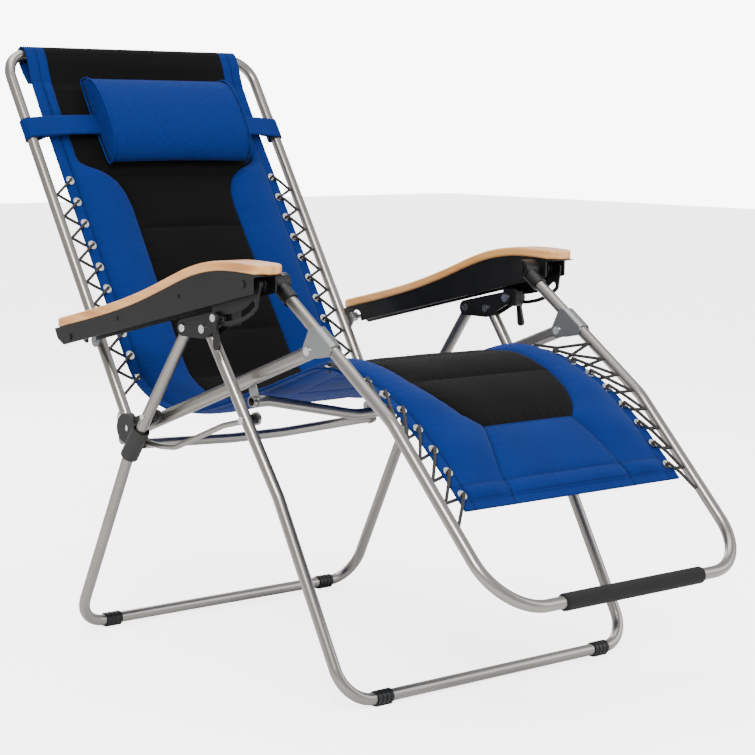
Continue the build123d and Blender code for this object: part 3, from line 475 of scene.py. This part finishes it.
def sling_line():
    """The sling's middle line from behind the head tube to the calf end, one point per millimetre."""
    knots = np.array(BACK_LINE + SEAT_LINE + LEG_LINE)
    chord = np.concatenate([[0], np.cumsum(np.hypot(*np.diff(knots, axis=0).T))])
    places = np.arange(0, chord[-1], LINE_STEP)
    dense = np.stack([np.interp(places, chord, knots[:, k]) for k in (0, 1)], axis=1)
    tight = smoothed(dense, TIGHT)
    soft = smoothed(dense, SOFT)
    share = np.clip((places - 150.0) / 120.0, 0, 1)[:, None]
    share = share * share * (3 - 2 * share)
    return tight * (1 - share) + soft * share


LINE = sling_line()
HEADING = np.gradient(LINE, axis=0)
HEADING /= np.linalg.norm(HEADING, axis=1)[:, None]
OUTWARD = np.stack([-HEADING[:, 1], HEADING[:, 0]], axis=1)  # towards the sitter once turned
if OUTWARD[600] @ np.array([-LEAN_COS, LEAN_SIN]) < 0:
    OUTWARD = -OUTWARD


def nearest(point):
    """How far along the sling a (y, z) point lies, in millimetres."""
    return float(np.argmin(((LINE - np.array(point)) ** 2).sum(1)) * LINE_STEP)


HEAD = nearest(on_back(TUBE_AT, 14.2))  # the front of the head tube; places below are counted from here
CALF_END = (len(LINE) - 1) * LINE_STEP


# ---------------------------------------------------------------- the quilted sling

HEM_EDGE = 252.0
PAD_EDGE = 230.0
HEM_HALF_THICK = 1.5
CENTRE_CROWN = 8.0
BOLSTER_CROWN = 15.0
END_ROLL = 27.0
ROLL_RISE = 8.0

# half width of the black middle panel, by distance below the head tube
PANEL_PLACES = [0, 225, 236, 243, 252, 263, 278, 300, 330, 400, 700]
PANEL_HALF = [209, 209, 203, 188, 166, 149, 135, 125, 121, 122, 128]
PANEL_PLACES += [900, 1050, 1150, 1250, 1330, 1389, 1428, 1457, 1506, 1551, 1600]
PANEL_HALF += [132, 142, 156, 167, 162, 148, 130, 104, 120, 134, 140]
PANEL_END = 1457.0
HEAD_SEAM = 58.0
SPLIT = 1003.0
QUILT_SEAMS = [HEAD_SEAM, 262.0, 372.0, 482.0, 592.0, 690.0, 795.0, 900.0, SPLIT]
QUILT_SEAMS += [1110.0, 1222.0, 1326.0, PANEL_END, 1563.0, 1592.0]


def ease(value, low, high):
    """A smooth step from 0 at low to 1 at high."""
    share = np.clip((value - low) / (high - low), 0, 1)
    return share * share * (3 - 2 * share)


def ripple(place, phase):
    """Small uneven puckers along a seam."""
    return (
        np.sin(2 * pi * place / 17.3 + phase)
        + 0.7 * np.sin(2 * pi * place / 11.1 + 2.1 * phase)
        + 0.6 * np.sin(2 * pi * place / 29.7 + 0.7 * phase)
    )


def quilt(place):
    """Rise between the cross seams, 0 on a seam and 1 between two, and the gap to the nearest."""
    rise = np.zeros_like(place)
    for low, high in zip(QUILT_SEAMS, QUILT_SEAMS[1:]):
        inside = (place >= low) & (place <= high)
        share = np.clip((place - low) / (high - low), 0, 1)
        rise = np.where(inside, np.sin(pi * share) ** 0.42, rise)
    gap = np.min([np.abs(place - seam) for seam in QUILT_SEAMS], axis=0)
    return rise, gap


def sling_relief(x, place):
    """Heights of the cloth's two faces over the middle line, and the gap to the nearest seam."""
    half = np.interp(place, PANEL_PLACES, PANEL_HALF)
    span = np.abs(x)
    padded = ease(place, HEAD_SEAM, HEAD_SEAM + 24) * (place > HEAD_SEAM)
    rise, cross_gap = quilt(place)
    in_centre = span <= half
    in_bolster = (span > half) & (span < PAD_EDGE)
    middle = np.clip(span / half, 0, 1)
    centre = CENTRE_CROWN * rise * (1 - middle**5) ** 0.5
    width = np.maximum(PAD_EDGE - half, 1)
    share = np.clip((span - half) / width, 0, 1)
    height = BOLSTER_CROWN * np.clip(width / 85.0, 0.12, 1)
    in_roll = place > QUILT_SEAMS[-2]
    roll = np.sin(pi * np.clip((place - QUILT_SEAMS[-2]) / END_ROLL, 0, 1)) ** 0.5 * 0.55
    end_rise = np.where(in_roll, roll, 1 - ease(place, 1480, 1563) * 0.9)
    bolster = height * np.sin(pi * share) ** 0.55 * end_rise
    bolster = np.maximum(bolster, np.where(in_roll, ROLL_RISE * end_rise * (span < PAD_EDGE), 0))
    crown = padded * np.where(in_centre, centre, np.where(in_bolster, bolster, 0))
    side_gap = np.minimum(np.abs(span - half), np.abs(span - PAD_EDGE))
    cross_gap = np.where(in_centre | (place > 1540) | (place < HEAD_SEAM + 4), cross_gap, 99.0)
    gap = np.minimum(side_gap, cross_gap)
    pucker_side = ripple(place + 0.15 * span, 1.3 + 0.8 * np.sign(x)) * np.exp(-side_gap / 16.0)
    pucker_cross = ripple(x, 0.6) * np.exp(-cross_gap / 13.0)
    pucker = 0.55 * padded * (pucker_side + pucker_cross) * (1 - np.exp(-gap / 5.0))
    lumps = 0.9 * padded * np.sin(x / 31.0 + place / 57.0) * np.sin(place / 43.0 - x / 71.0)
    lumps = lumps * (1 - np.exp(-gap / 18.0))
    upper = HEM_HALF_THICK + crown + pucker + lumps
    lower = HEM_HALF_THICK + 0.5 * crown + 0.6 * pucker
    return upper, lower, gap


def ring_centres(node_name):
    """Where the eyelets of one sling lie, as distances along it."""
    points = np.array([v.co for v in NODES[node_name].data.vertices]) / MM
    points = points[points[:, 0] > 0]
    places = np.array([nearest(p) for p in np.unique(points[:, 1:].round(1), axis=0)])
    places.sort()
    groups = np.split(places, np.where(np.diff(places) > 12.0)[0] + 1)
    return [float((g[0] + g[-1]) / 2) for g in groups]


EYELET_X = 241.0
HOLE_R = 4.9
RIM_R = 6.4


def sling_piece(name, start, end, eyelets):
    """One quilted length of the sling: a grid laid on the line, given two faces and padded."""
    centre_columns, bolster_columns, hem_columns = 30, 18, 8
    rows = int((end - start) / 3.8)
    columns = 2 * (centre_columns + bolster_columns + hem_columns)
    bpy.ops.object.select_all(action="DESELECT")
    bpy.ops.mesh.primitive_grid_add(x_subdivisions=columns, y_subdivisions=rows, size=2.0)
    piece = bpy.context.object
    piece.name = name
    mesh = piece.data
    count = len(mesh.vertices)
    grid = np.array([v.co for v in mesh.vertices])
    column = np.rint((grid[:, 0] + 1) / 2 * columns).astype(int)
    row = np.rint((grid[:, 1] + 1) / 2 * rows).astype(int)
    along = start + (end - start) * row / rows
    below = along - HEAD
    half = np.interp(below, PANEL_PLACES, PANEL_HALF)
    step = column - columns // 2
    size = np.abs(step)
    first = centre_columns
    second = centre_columns + bolster_columns
    span = np.where(
        size <= first,
        half * size / first,
        np.where(
            size <= second,
            half + (PAD_EDGE - half) * (size - first) / bolster_columns,
            PAD_EDGE + (HEM_EDGE - PAD_EDGE) * (size - second) / hem_columns,
        ),
    )
    x = span * np.sign(step)
    dead = np.zeros(count, bool)
    neighbours = {}
    for edge in mesh.edges:
        a, b = edge.vertices
        neighbours.setdefault(a, []).append(b)
        neighbours.setdefault(b, []).append(a)
    for centre in eyelets:
        for side in (-1, 1):
            reach = np.hypot(x - side * EYELET_X, along - centre)
            inside = reach < HOLE_R
            dead |= inside
            rim = {b for a in np.where(inside)[0] for b in neighbours[a] if not inside[b]}
            for index in rim:
                away = np.array([x[index] - side * EYELET_X, along[index] - centre])
                away *= RIM_R / np.hypot(*away)
                x[index] = side * EYELET_X + away[0]
                along[index] = centre + away[1]
    below = along - HEAD

    # UV in metres, panel colours and the hole cuts, before the second face is made
    uv = mesh.uv_layers.new(name="cloth") if not mesh.uv_layers else mesh.uv_layers[0]
    corner = np.zeros(len(mesh.loops), int)
    mesh.loops.foreach_get("vertex_index", corner)
    flat = np.stack([x[corner], along[corner]], axis=1) * MM
    uv.data.foreach_set("uv", flat.astype(np.float32).ravel())
    mesh.materials.append(SLING_BLUE)
    mesh.materials.append(SLING_BLACK)
    black = []
    for face in mesh.polygons:
        corners = list(face.vertices)
        black.append(int(size[corners].max() <= first and below[corners].mean() < PANEL_END))
    mesh.polygons.foreach_set("material_index", black)
    keeper = mesh.attributes.new("place_x", "FLOAT", "POINT")
    keeper.data.foreach_set("value", x.astype(np.float32))
    keeper = mesh.attributes.new("place_s", "FLOAT", "POINT")
    keeper.data.foreach_set("value", along.astype(np.float32))
    lay(mesh, x, along, 0.0)
    select_vertices(piece, dead)
    bpy.ops.object.mode_set(mode="EDIT")
    bpy.ops.mesh.delete(type="VERT")
    bpy.ops.object.mode_set(mode="OBJECT")
    single = len(mesh.vertices)
    wall = piece.modifiers.new("wall", "SOLIDIFY")
    wall.thickness = 2 * HEM_HALF_THICK * MM
    wall.offset = 0.0
    bpy.ops.object.modifier_apply(modifier=wall.name)
    mesh = piece.data
    x = attribute_values(mesh, "place_x")
    along = attribute_values(mesh, "place_s")
    upper, lower, gap = sling_relief(x, along - HEAD)
    current = np.array([v.co for v in mesh.vertices]) / MM
    base, outward = on_line(along)
    side = np.sign(((current[:, 1:] - base) * outward).sum(1))
    lift = np.where(side > 0, upper, -lower)
    lay(mesh, x, along, lift)
    keeper = mesh.attributes.new("seam_gap", "FLOAT", "POINT")
    keeper.data.foreach_set("value", (gap * MM).astype(np.float32))
    for spare in ("place_x", "place_s"):
        mesh.attributes.remove(mesh.attributes[spare])
    for face in mesh.polygons:  # the backing cloth is blue all over
        if side[list(face.vertices)].max() < 0:
            face.material_index = 0
    outward_faces(piece)
    bpy.ops.object.select_all(action="DESELECT")
    piece.select_set(True)
    bpy.context.view_layer.objects.active = piece
    bpy.ops.object.shade_smooth()
    assert len(mesh.vertices) == 2 * single
    return piece


def attribute_values(mesh, name):
    values = np.zeros(len(mesh.vertices), np.float32)
    mesh.attributes[name].data.foreach_get("value", values)
    return values.astype(float)


def on_line(along):
    """The middle line's point and outward direction at distances along it."""
    places = np.arange(len(LINE)) * LINE_STEP
    base = np.stack([np.interp(along, places, LINE[:, k]) for k in (0, 1)], axis=1)
    outward = np.stack([np.interp(along, places, OUTWARD[:, k]) for k in (0, 1)], axis=1)
    return base, outward / np.linalg.norm(outward, axis=1)[:, None]


def lay(mesh, x, along, lift):
    """Set a mesh on the sling's line."""
    base, outward = on_line(along)
    flat = base + outward * np.reshape(lift * np.ones(len(x)), (-1, 1))
    co = np.column_stack([x, flat]) * MM
    mesh.vertices.foreach_set("co", co.astype(np.float32).ravel())
    mesh.update()


def select_vertices(piece, chosen):
    bpy.ops.object.select_all(action="DESELECT")
    piece.select_set(True)
    bpy.context.view_layer.objects.active = piece
    bpy.ops.object.mode_set(mode="EDIT")
    bpy.ops.mesh.select_mode(type="VERT")
    bpy.ops.mesh.select_all(action="DESELECT")
    bpy.ops.object.mode_set(mode="OBJECT")
    piece.data.vertices.foreach_set("select", chosen)


def outward_faces(piece):
    select_vertices(piece, np.ones(len(piece.data.vertices), bool))
    bpy.ops.object.mode_set(mode="EDIT")
    bpy.ops.mesh.select_all(action="SELECT")
    bpy.ops.mesh.normals_make_consistent(inside=False)
    bpy.ops.object.mode_set(mode="OBJECT")


back_and_seat = sling_piece("sling_back_and_seat", 0.0, HEAD + SPLIT, ring_centres("back_grommets"))
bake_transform(back_and_seat)
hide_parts("back_sling", "seat_sling")

legs = sling_piece("sling_legs", HEAD + SPLIT, CALF_END, ring_centres("legrest_grommets"))
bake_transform(legs)
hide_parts("legrest_sling")


# ---------------------------------------------------------------- head bolster

BOLSTER_LOW = 500.0
BOLSTER_HIGH = 676.0
BOLSTER_HALF = 164.0
BOLSTER_SHIFT = 12.0
BOLSTER_NEAR = 19.0
BOLSTER_DEPTH = 40.0
RING = 56


def bolster_section(turn, grow=0.0):
    """The D-shaped section at a turn from 0 to 1: flat behind, round in front."""
    angle = 2 * pi * turn
    height = (BOLSTER_HIGH - BOLSTER_LOW) / 2 + grow
    across = np.sign(cos(angle)) * abs(cos(angle)) ** 0.82
    out = sin(angle)
    depth = BOLSTER_DEPTH + grow if out > 0 else 5.0 + grow
    lift = abs(out) ** (0.9 if out > 0 else 0.6)
    forward = BOLSTER_NEAR + np.sign(out) * depth * lift
    return (BOLSTER_LOW + BOLSTER_HIGH) / 2 + across * height, forward


def bolster():
    bpy.ops.object.select_all(action="DESELECT")
    bpy.ops.mesh.primitive_cylinder_add(vertices=RING, radius=1.0, depth=2.0, end_fill_type="TRIFAN")
    piece = bpy.context.object
    piece.name = "head_bolster"
    select_vertices(piece, np.ones(len(piece.data.vertices), bool))
    bpy.ops.object.mode_set(mode="EDIT")
    bpy.ops.mesh.select_all(action="SELECT")
    bpy.ops.mesh.subdivide(number_cuts=1)
    bpy.ops.object.mode_set(mode="OBJECT")
    for vertex in piece.data.vertices:
        reach = np.hypot(vertex.co.x, vertex.co.y)
        turn = np.arctan2(vertex.co.y, vertex.co.x) / (2 * pi)
        distance, forward = bolster_section(turn)
        middle, middle_forward = (BOLSTER_LOW + BOLSTER_HIGH) / 2, BOLSTER_NEAR + 10.0
        reach = min(reach, 1.0)
        distance = middle + (distance - middle) * reach
        forward = middle_forward + (forward - middle_forward) * reach
        y, z = on_back(distance, forward)
        vertex.co = Vector((BOLSTER_SHIFT + vertex.co.z * BOLSTER_HALF, y, z)) * MM
    outward_faces(piece)
    plump(piece, BOLSTER_HALF * MM, 4.0, 0.011)
    bpy.ops.object.shade_smooth()
    piece.data.materials.append(BOLSTER_BLUE)
    return piece


def plump(piece, half, pressure, cap):
    """Fill the closed cover by cloth simulation, held along its end seams."""
    remesh = piece.modifiers.new("even", "REMESH")
    remesh.mode = "VOXEL"
    remesh.voxel_size = 0.0055
    bpy.ops.object.modifier_apply(modifier=remesh.name)
    before = np.array([v.co for v in piece.data.vertices])
    held = piece.vertex_groups.new(name="end_seams")
    ends = np.abs(before[:, 0] - BOLSTER_SHIFT * MM) > half - 0.007
    held.add([int(i) for i in np.where(ends)[0]], 0.9, "REPLACE")
    cloth = piece.modifiers.new("fill", "CLOTH")
    cloth.settings.use_pressure = True
    cloth.settings.uniform_pressure_force = pressure
    cloth.settings.effector_weights.gravity = 0
    cloth.settings.vertex_group_mass = held.name
    cloth.settings.tension_stiffness = 12
    cloth.settings.bending_stiffness = 0.3
    for step in range(1, 21):
        bpy.context.scene.frame_set(step)
    settled = piece.evaluated_get(bpy.context.evaluated_depsgraph_get())
    after = np.array([v.co for v in settled.data.vertices])
    move = after - before
    length = np.linalg.norm(move, axis=1)[:, None]
    move *= np.minimum(1, cap / np.maximum(length, 1e-9))
    piece.modifiers.remove(cloth)
    piece.data.vertices.foreach_set("co", (before + move).astype(np.float32).ravel())
    piece.vertex_groups.clear()
    bpy.context.scene.frame_set(1)
    finer = piece.modifiers.new("finer", "SUBSURF")
    finer.levels = 1
    finer.render_levels = 1
    bpy.ops.object.modifier_apply(modifier=finer.name)


head_bolster = bolster()
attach(head_bolster, "headrest")
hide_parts("headrest_pillow")


def bolster_piping(side):
    """The corded seam round one end of the bolster."""
    bpy.ops.object.select_all(action="DESELECT")
    bpy.ops.mesh.primitive_torus_add(
        major_segments=72, minor_segments=10, major_radius=1.0, minor_radius=0.1
    )
    cord = bpy.context.object
    cord.name = "bolster_piping_left" if side > 0 else "bolster_piping_right"
    for vertex in cord.data.vertices:
        reach = np.hypot(vertex.co.x, vertex.co.y)
        turn = np.arctan2(vertex.co.y, vertex.co.x) / (2 * pi)
        distance, forward = bolster_section(turn, 1.2 + (reach - 1.0) * 19.0)
        y, z = on_back(distance, forward)
        vertex.co = Vector((BOLSTER_SHIFT + side * (BOLSTER_HALF - 1.0) + vertex.co.z * 19.0, y, z)) * MM
    outward_faces(cord)
    bpy.ops.object.shade_smooth()
    cord.data.materials.append(BOLSTER_BLUE)
    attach(cord, "headrest")


for side in (-1, 1):
    bolster_piping(side)


# ---------------------------------------------------------------- bolster straps

FRAME_X = 291.0
STRAP_LOW = 560.0
STRAP_HIGH = 600.0
STRAP_R = 12.4


def strap(side):
    """A flat strap from the bolster's end round the back tube and home again."""
    root = BOLSTER_HALF - 8.0 + side * BOLSTER_SHIFT
    path = [(root, 22.0), (210.0, 21.0), (250.0, 17.5), (278.0, 14.0)]
    for angle in range(100, -101, -20):
        path.append((FRAME_X + STRAP_R * cos(radians(angle)), STRAP_R * sin(radians(angle))))
    path += [(279.0, -10.5), (274.0, -2.0), (268.0, 6.0), (255.0, 12.5), (240.0, 15.4)]
    knots = np.array(path)
    chord = np.concatenate([[0], np.cumsum(np.hypot(*np.diff(knots, axis=0).T))])
    columns, rows = 90, 10
    bpy.ops.object.select_all(action="DESELECT")
    bpy.ops.mesh.primitive_grid_add(x_subdivisions=columns, y_subdivisions=rows, size=2.0)
    piece = bpy.context.object
    piece.name = "bolster_strap_left" if side > 0 else "bolster_strap_right"
    grid = np.array([v.co for v in piece.data.vertices])
    run = (grid[:, 0] + 1) / 2 * chord[-1]
    width = (grid[:, 1] + 1) / 2
    x = np.interp(run, chord, knots[:, 0])
    forward = np.interp(run, chord, knots[:, 1])
    forward = forward + 0.5 * np.sin(run / 9.0) * np.sin(width * pi)
    distance = STRAP_LOW + (STRAP_HIGH - STRAP_LOW) * width
    y = BACK_FOOT[0] + distance * LEAN_SIN - forward * LEAN_COS
    z = BACK_FOOT[1] + distance * LEAN_COS + forward * LEAN_SIN
    co = np.column_stack([side * x, y, z]) * MM
    piece.data.vertices.foreach_set("co", co.astype(np.float32).ravel())
    corner = np.zeros(len(piece.data.loops), int)
    piece.data.loops.foreach_get("vertex_index", corner)
    uv = piece.data.uv_layers[0] if piece.data.uv_layers else piece.data.uv_layers.new(name="cloth")
    flat = np.stack([run[corner], distance[corner]], axis=1) * MM
    uv.data.foreach_set("uv", flat.astype(np.float32).ravel())
    gap = np.minimum(distance - STRAP_LOW, STRAP_HIGH - distance) + 0.2
    keeper = piece.data.attributes.new("seam_gap", "FLOAT", "POINT")
    keeper.data.foreach_set("value", ((gap + 1.0) * MM).astype(np.float32))
    piece.data.materials.append(SLING_BLUE)
    wall = piece.modifiers.new("wall", "SOLIDIFY")
    wall.thickness = 1.5 * MM
    wall.offset = 0.0
    bpy.ops.object.modifier_apply(modifier=wall.name)
    outward_faces(piece)
    bpy.ops.object.shade_smooth()
    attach(piece, "headrest")
    return piece


right_strap = strap(-1)
strap(1)
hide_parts("headrest_strap")
